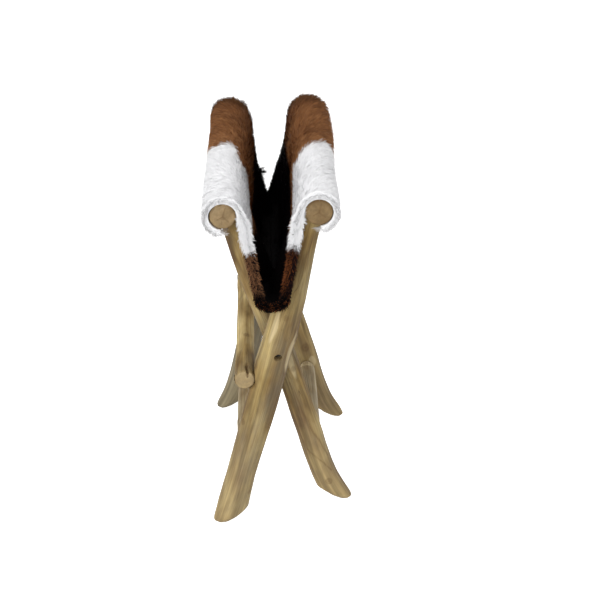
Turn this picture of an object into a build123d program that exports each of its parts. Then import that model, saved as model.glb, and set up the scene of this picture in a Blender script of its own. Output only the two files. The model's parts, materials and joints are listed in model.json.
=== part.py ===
# Folding stool: two crossed frames of peeled branches under a hanging seat of cowhide.
# Units are millimetres. X runs across the frames, Y along the seat rails, Z is up.
# The stool is modelled nearly folded, as it stands when it is put away.
from build123d import *
from math import cos, sin, radians
import os

os.makedirs("parts", exist_ok=True)

# Driving dimensions of the frames
rail_length = 400.0
rail_reach = 229.0
open_pivot_height = 221.0
outer_lean_angle = 14.6
inner_lean_angle = 16.5
opening_angle = 24.5
outer_rail_angle = 0.8
inner_rail_angle = 0.5
leg_row = 158.5

# Legs: radius at the pivot and sideways bow of each branch
outer_leg_radius = 22.5
inner_leg_radius = 18.5
outer_leg_bow = -3.1
inner_leg_bow = -3.3
inner_back_leg_bow = 2.6
# height share (1 at the rail, -1 at the sole), bow share, girth share
outer_leg_shares = [
    (-1.18, 0.95, 1.01), (-0.94, 0.95, 1.01), (-0.76, 1.12, 0.96), (-0.49, 0.90, 0.97),
    (-0.24, 0.85, 1.01), (0.00, 0.95, 1.00), (0.16, 0.90, 0.97), (0.43, 0.65, 0.83),
    (0.73, 0.80, 0.63), (1.00, 1.00, 0.56),
]
outer_back_leg_shares = [
    (-1.18, 0.83, 0.95), (-0.95, 0.91, 0.94), (-0.70, 0.68, 0.89), (-0.45, 1.00, 0.90),
    (-0.22, 1.14, 0.94), (0.02, 1.00, 1.00), (0.18, 0.83, 0.93), (0.46, 1.00, 0.77),
    (0.74, 1.06, 0.62), (1.00, 1.00, 0.55),
]
inner_leg_shares = [
    (-1.16, 0.00, 1.03), (-0.94, 0.20, 1.05), (-0.59, 1.00, 1.01), (-0.38, 0.78, 0.98),
    (-0.09, 0.51, 0.98), (0.01, 0.44, 1.00), (0.22, 0.72, 1.03), (0.45, 1.12, 1.05),
    (0.70, 1.15, 0.98), (1.00, 0.65, 0.76),
]
inner_back_leg_shares = [
    (-1.16, 0.60, 1.03), (-0.94, 0.50, 1.05), (-0.59, -0.12, 1.01), (-0.38, 0.05, 0.98),
    (-0.09, 0.26, 0.98), (0.01, 0.31, 1.00), (0.22, -0.30, 1.03), (0.45, -1.20, 1.05),
    (0.70, -1.25, 0.98), (1.00, -0.75, 0.76),
]
sole_bevel = 8.0

# Pivots: a bolt with a round head, a nut and two washers at each pair of legs
bolt_radius = 3.0
bolt_head_radius = 5.0
bolt_head_height = 6.0
bolt_socket_radius = 2.6
bolt_socket_depth = 3.2
head_bore_radius = 5.3
head_bore_depth = 20.0
nut_across_corners_radius = 5.8
nut_height = 5.0
nut_bore_radius = 7.0
nut_bore_depth = 9.0
bolt_tail = 2.0
washer_radius = 12.0
washer_thickness = 2.5
turning_clearance = 0.1
running_clearance = 0.06
outer_flat_depth = 1.5
inner_flat_depth = 1.0
flat_height = 76.0

# Seat rails
right_rail_radius = 17.7
left_rail_radius = 17.3
rail_bow = 0.6
# length share, bow share, girth share
right_rail_shares = [
    (-0.5, 0.0, 1.00), (-0.28, 0.8, 0.97), (0.0, 1.0, 0.96), (0.26, 0.4, 0.93), (0.5, -0.6, 0.92),
]
left_rail_shares = [
    (-0.5, 0.0, 0.97), (-0.24, -0.7, 0.95), (0.02, -1.0, 0.96), (0.3, -0.3, 0.98), (0.5, 0.5, 1.00),
]
rail_edge = 1.5
leg_tenon_radius = 8.5
leg_tenon_length = 13.0
joint_gap = 0.05

# Stretchers near the floor and the rung below the pivot
stretcher_drop = 185.6
stretcher_radius = 13.2
stretcher_neck = 18.0
stretcher_tenon_radius = 9.0
stretcher_tenon_length = 20.0
rung_across = -47.0
rung_below = -42.9
rung_radius = 14.7
rung_waist_radius = 13.2
rung_end_length = 34.0
rung_overhang = 6.5
rung_ledge_angle = 48.5
rung_ledge_length = 23.0
rung_notch_rise = 40.0
screw_radius = 2.4
screw_head_radius = 4.8
screw_bite = 22.0

# Cowhide seat
hide_gap = 0.3
hide_thickness = 10.0
hide_overhang = 2.0
wall_thickness = 8.0
wall_length = 125.0
wall_lean_angle = 8.7
flap_angle = -48.0
seat_middle = -6.0
bottom_drop = 12.5
leg_dent = 18.5
dent_reach = 25.0
dent_sway_share = 0.46
bottom_round_share = 0.72
corner_share = 0.6
# distance share (of the dent's reach) from the leg, depth share
dent_shares = [(0.0, 1.0), (0.40, 0.88), (0.70, 0.50), (1.0, 0.0)]
# height share down the wall, depth share of the dent there
wall_dent_shares = [(0.0, 0.0), (0.2, 0.02), (0.48, 0.36), (0.8, 0.78), (1.0, 1.0)]

# Tacks through the free edges of the hide
tack_count = 8
tack_end_margin = 26.0
tack_angle = -38.0
tack_head_radius = 4.0
tack_head_height = 1.6
tack_radius = 1.0
tack_bite = 9.0

cut_overrun = 5.0
blank = 200.0

front, back = -1, 1
right, left = 1, -1


def turned(shape, lean):
    """Turn a piece about the pivot line, top towards +X when the lean is positive."""
    return Rot(0, lean, 0) * shape


def rod_along_y(radius, y_from, y_to, x=0, z=0):
    """A plain round rod along Y between two places."""
    plane = Plane(origin=(x, y_from, z), x_dir=(1, 0, 0), z_dir=(0, 1, 0))
    return extrude(plane * Circle(radius), y_to - y_from)


def turned_rod(points, x, z):
    """Revolve a half profile of (y, radius) points about a line along Y."""
    outline = [(0, points[0][0])] + [(radius, y) for y, radius in points] + [(0, points[-1][0])]
    face = make_face(Polyline(*outline, close=True))
    return Pos(x, 0, z) * revolve(face, Axis.Y)


def rail_place(lean, side):
    """Where a rail's centre stands, in the frame of the pivot."""
    return side * rail_reach * sin(radians(lean)), rail_reach * cos(radians(lean))


# The rails stand a little beside the lines of the legs, because the legs are bowed
outer_rail_lean_angle = outer_lean_angle - outer_rail_angle
inner_rail_lean_angle = inner_lean_angle + inner_rail_angle

# How far each leg leans when the stool is open and stands on its four soles
open_lean_angle = (outer_lean_angle + inner_lean_angle) / 2 + opening_angle

# Rows of the legs along Y: the inner leg stands behind the outer one by the washers' room
washer_room = 2 * washer_thickness + 3 * turning_clearance
outer_flat_place = leg_row - outer_leg_radius + outer_flat_depth
inner_flat_place = outer_flat_place - washer_room
inner_leg_row = inner_flat_place + inner_flat_depth - inner_leg_radius

# Seats of the bolt heads and nuts in their bores, as distances along Y
head_seat = leg_row + outer_leg_radius - head_bore_depth
nut_seat = inner_leg_row - inner_leg_radius + nut_bore_depth

right_x, right_z = rail_place(outer_rail_lean_angle, right)
left_x, left_z = rail_place(inner_rail_lean_angle, left)


def branch(shares, radius, bow):
    """A peeled branch that stands on the pivot: round sections that swell and wander."""
    foot_reach = open_pivot_height / cos(radians(open_lean_angle))
    sections = []
    for height_share, bow_share, girth_share in shares:
        reach = rail_reach if height_share > 0 else foot_reach
        place = (bow * bow_share, 0, reach * height_share)
        sections.append(Plane(origin=place) * Circle(radius * girth_share))
    return loft(sections)


def rail(shares, radius, x, z):
    """A seat rail: a branch along Y with its sawn ends eased."""
    sections = []
    for length_share, bow_share, girth_share in shares:
        place = (x + rail_bow * bow_share, rail_length * length_share, z)
        plane = Plane(origin=place, x_dir=(1, 0, 0), z_dir=(0, 1, 0))
        sections.append(plane * Circle(radius * girth_share))
    solid = loft(sections)
    ends = solid.faces().filter_by(Axis.Y)
    return chamfer(ends.edges(), rail_edge)


def trodden(solid, lean):
    """Cut the sole of an upright leg so that it lies flat when the stool is open."""
    opened = open_lean_angle if lean > 0 else -open_lean_angle
    block = Box(4 * blank, blank, blank, align=(Align.CENTER, Align.CENTER, Align.MAX))
    solid = solid - Rot(0, -opened, 0) * Pos(0, 0, -open_pivot_height) * block
    sole = solid.faces().sort_by(Axis.Z)[0]
    return chamfer(sole.edges(), sole_bevel)


def shaved(solid, lean, flat_place, way):
    """Shave a flat beside the pivot, cutting towards the given way along Y."""
    align_y = Align.MIN if way > 0 else Align.MAX
    block = Box(blank, blank, flat_height, align=(Align.CENTER, align_y, Align.CENTER))
    return solid - turned(Pos(0, flat_place, 0) * block, lean)


def top_tenon(bow, lean, row, rail_radius, gap):
    """The round tenon at the top of a leg, or with a gap the hole that takes it."""
    top = rail_reach - rail_radius + leg_tenon_length + gap
    rod = Cylinder(
        leg_tenon_radius + gap, leg_tenon_length + rail_radius,
        align=(Align.CENTER, Align.CENTER, Align.MAX),
    )
    return turned(Pos(bow, row, top) * rod, lean)


def largest(shape):
    """The biggest of the solids that a cut leaves."""
    return max(shape.solids(), key=lambda solid: solid.volume)


def leg(shares, radius, bow, lean, row, rail_solid, rail_radius, flat_place, flat_way):
    """One leg in its place: trodden sole, flat and bore at the pivot, coped and tenoned top."""
    solid = trodden(branch(shares, radius, bow), lean)
    solid = Pos(0, row, 0) * turned(solid, lean)
    solid = shaved(solid, lean, flat_place, flat_way)
    solid = largest(solid - rail_solid)
    solid = solid + top_tenon(bow * shares[-1][1], lean, row, rail_radius, 0)
    bore = rod_along_y(bolt_radius + running_clearance, row - blank, row + blank)
    return solid - bore


def on_leg(lean, bow, height):
    """A place on a leg's middle line, from its height along the leg."""
    tilt = radians(lean)
    return bow * cos(tilt) + height * sin(tilt), height * cos(tilt) - bow * sin(tilt)


def stretcher(x, z, row, leg_radius, gap):
    """A rod between two legs whose ends neck down to round tenons."""
    shoulder = row - leg_radius
    tip = shoulder + stretcher_tenon_length + gap
    neck = shoulder - stretcher_neck
    tenon = stretcher_tenon_radius + gap
    half = [
        Line((0, tip), (tenon, tip)),
        Line((tenon, tip), (tenon, shoulder)),
        Spline([(tenon, shoulder), (stretcher_radius, neck)], tangents=[(1, -1), (0, -1)]),
        Line((stretcher_radius, neck), (stretcher_radius, 0)),
        Line((stretcher_radius, 0), (0, 0)),
        Line((0, 0), (0, tip)),
    ]
    rod = revolve(make_face(half), Axis.Y)
    return Pos(x, 0, z) * (rod + mirror(rod, about=Plane.XZ))


def rung():
    """The rod below the pivot, a little thicker where it lies in the legs."""
    tip = leg_row + rung_overhang
    waist = tip - rung_end_length
    half = [
        (tip, rung_radius - rail_edge), (tip - rail_edge, rung_radius), (waist, rung_radius),
        (waist - rung_end_length, rung_waist_radius),
    ]
    points = [(-y, radius) for y, radius in half] + [(y, radius) for y, radius in reversed(half)]
    return turned_rod(points, rung_across, rung_below)


def rung_notch():
    """The notch that seats the rung: an upright floor and a ledge below, sawn across both legs."""
    floor_x = rung_across + rung_radius
    slope = radians(rung_ledge_angle)
    corner_z = rung_below - rung_radius * (1 - sin(slope)) / cos(slope)
    ledge_x = floor_x - rung_ledge_length * cos(slope)
    ledge_z = corner_z - rung_ledge_length * sin(slope)
    far_x = floor_x - blank
    top_z = rung_below + rung_notch_rise
    reach = leg_row + blank
    outline = Polyline(
        (floor_x, -reach, corner_z), (ledge_x, -reach, ledge_z), (far_x, -reach, ledge_z),
        (far_x, -reach, top_z), (floor_x, -reach, top_z), close=True,
    )
    return extrude(make_face(outline), 2 * reach, dir=(0, 1, 0))


def rung_screw(row):
    """A sunk screw that goes through the rung into a leg."""
    plane = Plane(origin=(rung_across - rung_radius, row, rung_below), z_dir=(1, 0, 0))
    sink = screw_head_radius - screw_radius
    head = Cone(screw_head_radius, screw_radius, sink, align=(Align.CENTER, Align.CENTER, Align.MIN))
    shank = Cylinder(
        screw_radius, 2 * rung_radius + screw_bite, align=(Align.CENTER, Align.CENTER, Align.MIN)
    )
    return plane * (head + shank)


def on_side(shape, end):
    """Mirror a piece made for the back to the front when asked."""
    return shape if end == back else mirror(shape, about=Plane.XZ)


def pivot_bolt(end):
    """A bolt with a socket in its round head, seated in the bore of the outer leg."""
    seat = head_seat + turning_clearance
    top = seat + bolt_head_height
    tail = nut_seat - turning_clearance - nut_height - bolt_tail
    bolt = rod_along_y(bolt_radius, tail, seat) + rod_along_y(bolt_head_radius, seat, top)
    socket_plane = Plane(origin=(0, top, 0), x_dir=(1, 0, 0), z_dir=(0, -1, 0))
    socket = extrude(socket_plane * RegularPolygon(bolt_socket_radius, 6), bolt_socket_depth)
    return on_side(bolt - socket, end)


def pivot_nut(end):
    """A six-sided nut at the inner end of the bolt."""
    top = nut_seat - turning_clearance
    plane = Plane(origin=(0, top, 0), x_dir=(1, 0, 0), z_dir=(0, -1, 0))
    nut = extrude(plane * RegularPolygon(nut_across_corners_radius, 6), nut_height)
    hole = rod_along_y(bolt_radius + joint_gap, top - blank, top + blank)
    return on_side(nut - hole, end)


def pivot_washers(end):
    """Two washers between the flats of the legs."""
    rings = []
    for number in range(2):
        start = inner_flat_place + turning_clearance + number * (washer_thickness + turning_clearance)
        ring = rod_along_y(washer_radius, start, start + washer_thickness)
        ring = ring - rod_along_y(bolt_radius + joint_gap, start - cut_overrun, start + blank)
        rings.append(on_side(ring, end))
    return Compound(rings)


def around(x, z, side, radius, angle):
    """A point round a rail: angle 0 points outwards and 90 up."""
    turn = radians(angle)
    return x + side * radius * cos(turn), z + radius * sin(turn)


def hide_inside(rail_radius):
    """The radius of the hide's inner face round a rail."""
    return rail_radius + rail_bow + hide_gap


def hide_roll(x, z, side, rail_radius):
    """The hide wrapped over a rail, from its outer flap over the top to where it hangs free."""
    inside = hide_inside(rail_radius)
    outside = inside + hide_thickness
    start_y = -rail_length / 2 - hide_overhang
    last = 180 - wall_lean_angle
    middle = (flap_angle + last) / 2

    def spot(radius, angle):
        across, up = around(x, z, side, radius, angle)
        return across, start_y, up

    outline = [
        ThreePointArc(spot(inside, flap_angle), spot(inside, middle), spot(inside, last)),
        Line(spot(inside, last), spot(outside, last)),
        ThreePointArc(spot(outside, last), spot(outside, middle), spot(outside, flap_angle)),
        Line(spot(outside, flap_angle), spot(inside, flap_angle)),
    ]
    return extrude(make_face(outline), rail_length + 2 * hide_overhang, dir=(0, 1, 0))


def share_at(table, place):
    """Read a table of (place, share) pairs, straight between its rows."""
    for (low, low_share), (high, high_share) in zip(table, table[1:]):
        if low <= place <= high:
            return low_share + (high_share - low_share) * (place - low) / (high - low)
    return 0.0


def dent_at(y, side):
    """How far a leg presses the hanging hide inwards at a place along Y."""
    row = leg_row if side == right else inner_leg_row
    return leg_dent * share_at(dent_shares, abs(abs(y) - row) / dent_reach)


def seat_stations():
    """Places along Y where the hanging hide is drawn: its edges, the middle and each dent."""
    places = {rail_length / 2 + hide_overhang, 0.0}
    for row in (leg_row, inner_leg_row):
        for distance_share, depth_share in dent_shares:
            places.add(row - dent_reach * distance_share)
            places.add(row + dent_reach * distance_share)
    return sorted({-place for place in places} | places)


def seat_bottom():
    """The height of the middle of the hanging hide, from the feet of its two walls."""
    drop = wall_length * cos(radians(wall_lean_angle))
    rise = (hide_inside(right_rail_radius) + hide_inside(left_rail_radius) + hide_thickness) / 2
    return (right_z + left_z) / 2 + rise * sin(radians(wall_lean_angle)) - drop - bottom_drop


def middle_at(y, side):
    """The line where the two halves of the hide meet, which sways between the legs."""
    sway = dent_sway_share * (dent_at(y, left) - dent_at(y, right))
    return seat_middle + sway + side * hide_gap / 2


def wall_outline(x, z, side, rail_radius, y):
    """Outer and inner points of the hanging wall at a place along Y, from the top down."""
    lean = radians(wall_lean_angle)
    down = Vector(-side * sin(lean), 0, -cos(lean))
    inward = Vector(-side * cos(lean), 0, sin(lean))
    centre = Vector(x, y, z)
    near = hide_inside(rail_radius)
    far = near + hide_thickness
    middle = (near + far) / 2
    outer, inner = [], []
    for height_share, depth_share in wall_dent_shares:
        thin = min(height_share / wall_dent_shares[1][0], 1)
        half = (hide_thickness + thin * (wall_thickness - hide_thickness)) / 2
        dent = dent_at(y, side) * depth_share
        foot = centre + down * (wall_length * height_share)
        outer.append(foot + inward * (middle - half + dent))
        inner.append(foot + inward * (middle + half + dent))
    return outer, inner


def hide_wall(x, z, side, rail_radius):
    """The hide that hangs from a rail, dented where the legs press on it."""
    faces = []
    for y in seat_stations():
        outer, inner = wall_outline(x, z, side, rail_radius, y)
        faces.append(make_face(Polyline(*outer, *reversed(inner), close=True)))
    return loft(faces, ruled=True)


def hide_bottom(x, z, side, rail_radius):
    """Half of the rounded bottom of the hanging hide, from the wall's foot to the middle."""
    faces = []
    for y in seat_stations():
        outer, inner = wall_outline(x, z, side, rail_radius, y)
        centre_x = middle_at(y, side)
        low = Vector(centre_x, y, seat_bottom() - wall_thickness / 2)
        high = Vector(centre_x, y, seat_bottom() + wall_thickness / 2)

        def bulge(wall_end, centre):
            across = centre.X + (wall_end.X - centre.X) * bottom_round_share
            up = wall_end.Z + (centre.Z - wall_end.Z) * bottom_round_share
            return Vector(across, y, up)

        outline = [
            Line(outer[-1], inner[-1]),
            ThreePointArc(inner[-1], bulge(inner[-1], high), high),
            Line(high, low),
            ThreePointArc(low, bulge(outer[-1], low), outer[-1]),
        ]
        faces.append(make_face(outline))
    return loft(faces, ruled=True)


def rail_tacks(x, z, side, rail_radius):
    """Domed tacks that hold the free edge of the hide to the underside of a rail."""
    surface = hide_inside(rail_radius) + hide_thickness
    turn = radians(tack_angle)
    outward = Vector(side * cos(turn), 0, sin(turn))
    first = -rail_length / 2 + tack_end_margin
    pitch = (rail_length - 2 * tack_end_margin) / (tack_count - 1)
    shank_length = surface - rail_radius + tack_bite
    tacks = []
    for number in range(tack_count):
        foot = Vector(x, first + number * pitch, z) + outward * surface
        plane = Plane(origin=foot, x_dir=(0, 1, 0), z_dir=outward)
        head = loft([
            plane * RegularPolygon(tack_head_radius, 8),
            plane.offset(tack_head_height) * RegularPolygon(tack_head_radius / 2, 8),
        ])
        shank = extrude(plane * RegularPolygon(tack_radius, 4), -shank_length)
        tacks.append(head + shank)
    return Compound(tacks)


def make_nodes():
    """Every piece of the stool by name, with the pivot line through the origin."""
    nodes = {}
    right_rail = rail(right_rail_shares, right_rail_radius, right_x, right_z)
    left_rail = rail(left_rail_shares, left_rail_radius, left_x, left_z)
    notch = rung_notch()
    screws = [rung_screw(end * leg_row) for end in (front, back)]

    outer_x, outer_z = on_leg(outer_lean_angle, outer_leg_bow, -stretcher_drop)
    inner_x, inner_z = on_leg(-inner_lean_angle, inner_leg_bow, -stretcher_drop)
    outer_mortises = stretcher(outer_x, outer_z, leg_row, outer_leg_radius, joint_gap)
    inner_mortises = stretcher(inner_x, inner_z, inner_leg_row, inner_leg_radius, joint_gap)

    for end, word in ((front, "front"), (back, "back")):
        shares = outer_leg_shares if end == front else outer_back_leg_shares
        row = end * leg_row
        solid = leg(shares, outer_leg_radius, outer_leg_bow, outer_lean_angle, row,
                    right_rail, right_rail_radius, end * outer_flat_place, -end)
        solid = solid - notch - screws[0] - screws[1] - outer_mortises
        seat = rod_along_y(head_bore_radius, head_seat, head_seat + blank)
        nodes[f"outer_{word}_leg"] = largest(solid - on_side(seat, end))
        hole = top_tenon(outer_leg_bow * shares[-1][1], outer_lean_angle, row, right_rail_radius, joint_gap)
        right_rail = right_rail - hole

        shares = inner_leg_shares if end == front else inner_back_leg_shares
        bow = inner_leg_bow if end == front else inner_back_leg_bow
        row = end * inner_leg_row
        solid = leg(shares, inner_leg_radius, bow, -inner_lean_angle, row,
                    left_rail, left_rail_radius, end * inner_flat_place, end)
        solid = solid - inner_mortises
        seat = rod_along_y(nut_bore_radius, nut_seat - blank, nut_seat)
        nodes[f"inner_{word}_leg"] = largest(solid - on_side(seat, end))
        hole = top_tenon(bow * shares[-1][1], -inner_lean_angle, row, left_rail_radius, joint_gap)
        left_rail = left_rail - hole

        nodes[f"{word}_pivot_bolt"] = pivot_bolt(end)
        nodes[f"{word}_pivot_nut"] = pivot_nut(end)
        nodes[f"{word}_pivot_washers"] = pivot_washers(end)

    nodes["outer_stretcher"] = stretcher(outer_x, outer_z, leg_row, outer_leg_radius, 0)
    nodes["inner_stretcher"] = stretcher(inner_x, inner_z, inner_leg_row, inner_leg_radius, 0)
    nodes["pivot_rung"] = rung() - screws[0] - screws[1]
    nodes["rung_screws"] = Compound(screws)

    for side, word in ((right, "right"), (left, "left")):
        x, z = (right_x, right_z) if side == right else (left_x, left_z)
        radius = right_rail_radius if side == right else left_rail_radius
        tacks = rail_tacks(x, z, side, radius)
        wood = right_rail if side == right else left_rail
        nodes[f"{word}_rail"] = wood - tacks
        nodes[f"{word}_hide_roll"] = hide_roll(x, z, side, radius) - tacks
        nodes[f"{word}_rail_tacks"] = tacks
        nodes[f"{word}_hide_wall"] = hide_wall(x, z, side, radius)
        nodes[f"{word}_hide_bottom"] = hide_bottom(x, z, side, radius)
    return nodes


nodes = make_nodes()

# The stool stands on the ground with its box centred on the origin
boxes = [shape.bounding_box() for shape in nodes.values()]
ground_shift = Vector(
    -(min(box.min.X for box in boxes) + max(box.max.X for box in boxes)) / 2,
    -(min(box.min.Y for box in boxes) + max(box.max.Y for box in boxes)) / 2,
    -min(box.min.Z for box in boxes),
)
for name, shape in nodes.items():
    export_step(Pos(*ground_shift) * shape, f"parts/{name}.step")

# Places that a joint or a mount is given by, on the ground
lean = radians(wall_lean_angle)
for side, word, x, z, radius in (
    (right, "right", right_x, right_z, right_rail_radius),
    (left, "left", left_x, left_z, left_rail_radius),
):
    mid = hide_inside(radius) + hide_thickness / 2
    corner = Vector(x, 0, z)
    corner += Vector(-side * sin(lean), 0, -cos(lean)) * (wall_length + corner_share * mid)
    corner += Vector(-side * cos(lean), 0, sin(lean)) * mid
    print(word, "rail axis", Vector(x, 0, z) + ground_shift, "hide fold axis", corner + ground_shift)
print("pivot line", ground_shift)
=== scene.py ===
# %% [markdown]
# # A folding stool of peeled branches and cowhide
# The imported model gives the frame: two crossed frames of branches, their bolts, and the six
# solids that stand for the hide. This lesson keeps the small metal parts, carves the branches
# from the CAD solids, and lays a hair-on hide over the rails in their place.

# %% Load the frame
import json
import math

import bpy
import numpy as np
from mathutils import Euler, Matrix, Vector, noise

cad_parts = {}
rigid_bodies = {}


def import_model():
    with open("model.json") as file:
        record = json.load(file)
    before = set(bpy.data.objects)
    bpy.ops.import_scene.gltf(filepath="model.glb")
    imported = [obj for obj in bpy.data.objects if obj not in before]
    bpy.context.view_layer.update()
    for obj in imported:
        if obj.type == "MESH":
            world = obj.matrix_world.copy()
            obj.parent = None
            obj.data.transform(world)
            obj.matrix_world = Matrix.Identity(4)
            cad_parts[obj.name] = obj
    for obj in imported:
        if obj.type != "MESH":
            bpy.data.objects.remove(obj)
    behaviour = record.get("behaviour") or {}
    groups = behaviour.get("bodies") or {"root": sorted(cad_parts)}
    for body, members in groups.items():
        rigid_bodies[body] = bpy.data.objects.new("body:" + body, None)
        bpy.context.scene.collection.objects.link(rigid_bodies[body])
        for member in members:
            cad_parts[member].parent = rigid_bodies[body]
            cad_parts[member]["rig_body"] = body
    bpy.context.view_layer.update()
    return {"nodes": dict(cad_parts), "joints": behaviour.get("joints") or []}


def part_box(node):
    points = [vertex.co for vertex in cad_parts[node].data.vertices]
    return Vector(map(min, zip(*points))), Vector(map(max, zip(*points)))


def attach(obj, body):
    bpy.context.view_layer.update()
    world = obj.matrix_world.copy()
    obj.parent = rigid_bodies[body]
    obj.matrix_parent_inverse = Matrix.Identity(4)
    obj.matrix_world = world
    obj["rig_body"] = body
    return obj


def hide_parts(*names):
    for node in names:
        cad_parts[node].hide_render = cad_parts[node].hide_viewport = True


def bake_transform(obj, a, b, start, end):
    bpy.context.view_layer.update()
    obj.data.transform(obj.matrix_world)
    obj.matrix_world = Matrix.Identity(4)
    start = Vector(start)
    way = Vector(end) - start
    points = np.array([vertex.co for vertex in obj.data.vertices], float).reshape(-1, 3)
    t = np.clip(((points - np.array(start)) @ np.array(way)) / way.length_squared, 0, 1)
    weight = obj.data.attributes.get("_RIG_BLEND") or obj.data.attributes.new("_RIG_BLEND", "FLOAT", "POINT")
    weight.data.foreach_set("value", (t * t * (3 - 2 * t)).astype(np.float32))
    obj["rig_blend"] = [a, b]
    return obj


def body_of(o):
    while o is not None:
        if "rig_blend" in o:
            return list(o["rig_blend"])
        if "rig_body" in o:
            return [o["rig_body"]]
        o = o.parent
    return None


MM = 0.001
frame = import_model()
scene = bpy.context.scene

# %% [markdown]
# ## Camera
# The photograph looks down along the rails from about a metre and a half away. The angles and
# the lens come from matching the rail ends, the bolt hole and the edges of the legs with the
# picture. The camera was held a little askew, so it is also turned about its own line of view.

# %% Camera
sensor_width = 36.0
focal_pixels, picture_pixels = 1116.4, 600.0
look_down, look_right, askew = 27.457, 1.88, 0.438
camera_data = bpy.data.cameras.new("camera")
camera_data.sensor_width = sensor_width
camera_data.lens = sensor_width * focal_pixels / picture_pixels
camera = bpy.data.objects.new("camera", camera_data)
camera.location = (-0.01646, -1.49509, 1.06507)
aimed = Euler((math.radians(90 - look_down), 0.0, math.radians(-look_right))).to_matrix()
camera.rotation_euler = (aimed @ Matrix.Rotation(math.radians(-askew), 3, "Z")).to_euler()
scene.collection.objects.link(camera)
scene.camera = camera
print("lens", round(camera_data.lens, 1), "mm")

# %% [markdown]
# ## Helpers for materials
# A hex code is how a screen stores a colour; shaders count in linear light, so one function
# turns the one into the other. One more function adds a node with its settings and links, to
# a material or to the world.

# %% Material helpers
def linear(code):
    """An sRGB hex code as linear red, green, blue and a full alpha."""
    parts = [int(code[i:i + 2], 16) / 255 for i in (1, 3, 5)]
    return [c / 12.92 if c <= 0.04045 else ((c + 0.055) / 1.055) ** 2.4 for c in parts] + [1.0]


def add_node(owner, kind, inputs=None, stops=None, **settings):
    """Add a node. Inputs are values or sockets to link, stops are the colours of a ramp."""
    tree = owner.node_tree
    node = tree.nodes.new(kind)
    for name, value in settings.items():
        setattr(node, name, value)
    for name, value in (inputs or {}).items():
        if isinstance(value, bpy.types.NodeSocket):
            tree.links.new(value, node.inputs[name])
        else:
            node.inputs[name].default_value = value
    if stops:
        elements = node.color_ramp.elements
        while len(elements) < len(stops):
            elements.new(1.0)
        for element, (place, colour) in zip(elements, stops):
            element.position = place
            element.color = colour
    return node


def blank_material(name):
    """A material that holds only its shader."""
    material = bpy.data.materials.new(name)
    material.use_nodes = True
    return material, material.node_tree.nodes["Principled BSDF"]


def grey(value):
    """A neutral colour for a ramp that carries a mask."""
    return [value, value, value, 1.0]


def add_object(name, mesh):
    """Put a mesh or a lamp into the scene as an object of that name."""
    made = bpy.data.objects.new(name, mesh)
    scene.collection.objects.link(made)
    return made

# %% [markdown]
# ## Floor, background and light
# The stool stands on a plain white floor in a light tent: even light from all round, one
# large soft lamp in front, above and to the left, and a weaker one overhead. The camera sees
# the floor and the background as white, whatever the strength of the tent is.

# %% Floor
floor_half = 30.0
floor_glow = 0.95
floor_material, floor_shader = blank_material("matt_white_floor")
floor_shader.inputs["Base Color"].default_value = linear("#e9e9e9")
floor_shader.inputs["Roughness"].default_value = 0.9
rays = add_node(floor_material, "ShaderNodeLightPath")
seen = add_node(floor_material, "ShaderNodeMath", {0: rays.outputs["Is Camera Ray"],
                1: rays.outputs["Is Glossy Ray"]}, operation="MAXIMUM")
glow = add_node(floor_material, "ShaderNodeMath", {0: seen.outputs[0], 1: floor_glow},
                operation="MULTIPLY")
floor_shader.inputs["Emission Color"].default_value = (1, 1, 1, 1)
floor_material.node_tree.links.new(glow.outputs[0], floor_shader.inputs["Emission Strength"])

floor_mesh = bpy.data.meshes.new("floor")
corners = [(x * floor_half, y * floor_half, 0) for x, y in ((-1, -1), (1, -1), (1, 1), (-1, 1))]
floor_mesh.from_pydata(corners, [], [(0, 1, 2, 3)])
floor_mesh.materials.append(floor_material)
floor = add_object("floor", floor_mesh)
print("floor", 2 * floor_half, "m wide")

# %% World and lamps
tent_strength = 0.68
world = bpy.data.worlds.new("light_tent")
scene.world = world
world.use_nodes = True
sky = world.node_tree.nodes["Background"]
sky.inputs["Color"].default_value = (1, 1, 1, 1)
world_rays = add_node(world, "ShaderNodeLightPath")
shown = add_node(world, "ShaderNodeMath", {0: world_rays.outputs["Is Camera Ray"],
                 1: world_rays.outputs["Is Transmission Ray"]}, operation="MAXIMUM")
tent_level = add_node(world, "ShaderNodeMapRange", {"Value": shown.outputs[0],
                      "To Min": tent_strength, "To Max": 1.0})
world.node_tree.links.new(tent_level.outputs[0], sky.inputs["Strength"])


def soft_lamp(name, place, power, aim=(0, 0, 0.3), size=1.6):
    """A square soft box that looks at a point."""
    lamp = bpy.data.lights.new(name, "AREA")
    lamp.size = size
    lamp.energy = power
    holder = add_object(name, lamp)
    holder.location = place
    holder.rotation_euler = (Vector(aim) - Vector(place)).to_track_quat("-Z", "Y").to_euler()


soft_lamp("key_box", (-0.8, -2.2, 1.9), 42.0)
soft_lamp("top_box", (0.1, 0.3, 2.6), 12.0)
scene.view_settings.view_transform = "Standard"
print("tent strength", tent_strength)

# %% [markdown]
# ## Peeled branch wood
# The frames are branches with the bark off, shaved by hand and lightly oiled. Under the bark
# the growth rings meet the surface at a low angle, so they show as long wavering contour
# lines, and the cut ends show the rings themselves. Both come from one rule: the tone depends
# on the distance from the pith, which wanders slowly along the branch. Every pattern reads
# the place in the branch that is stored on the mesh, so it follows the bends.

# %% Patterns along the grain
def drawn_out(material, wide, long, detail, roughness, shift=(0, 0, 0), distortion=0.0):
    """Noise drawn out along the grain, with marks so many millimetres wide and long."""
    place = add_node(material, "ShaderNodeAttribute", attribute_name="grain")
    per_metre = [1000.0 / wide, 1000.0 / wide, 1000.0 / long]
    way = add_node(material, "ShaderNodeMapping", {"Vector": place.outputs["Vector"],
                   "Location": shift, "Scale": per_metre})
    marks = add_node(material, "ShaderNodeTexNoise", {"Vector": way.outputs[0], "Scale": 1.0,
                     "Detail": detail, "Roughness": roughness, "Distortion": distortion})
    return marks.outputs[0]


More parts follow.
